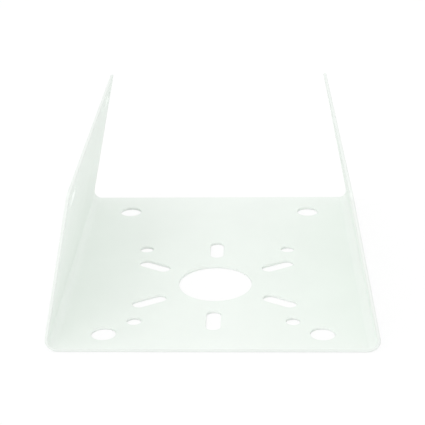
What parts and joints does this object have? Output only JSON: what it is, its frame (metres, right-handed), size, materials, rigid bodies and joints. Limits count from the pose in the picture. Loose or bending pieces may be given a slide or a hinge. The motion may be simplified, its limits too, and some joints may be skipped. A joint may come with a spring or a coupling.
{
  "type": "camera wall bracket",
  "caption": "U-shaped folded sheet bracket with inward-leaning slotted wings, a round cable hole, radial screw slots and corner bolt holes in its base plate.",
  "frame": {"origin": "centre of the cable hole, on the outer (lower) face of the base plate", "axes": "+X across the folds, +Y along the folds from the front edge to the back edge, +Z the way that the wings stand"},
  "size_m": [0.1238, 0.138, 0.064],
  "materials": {
    "white_paint": "satin white powder coat"
  },
  "bodies": {
    "root": {"bracket": "white_paint"}
  },
  "joints": []
}
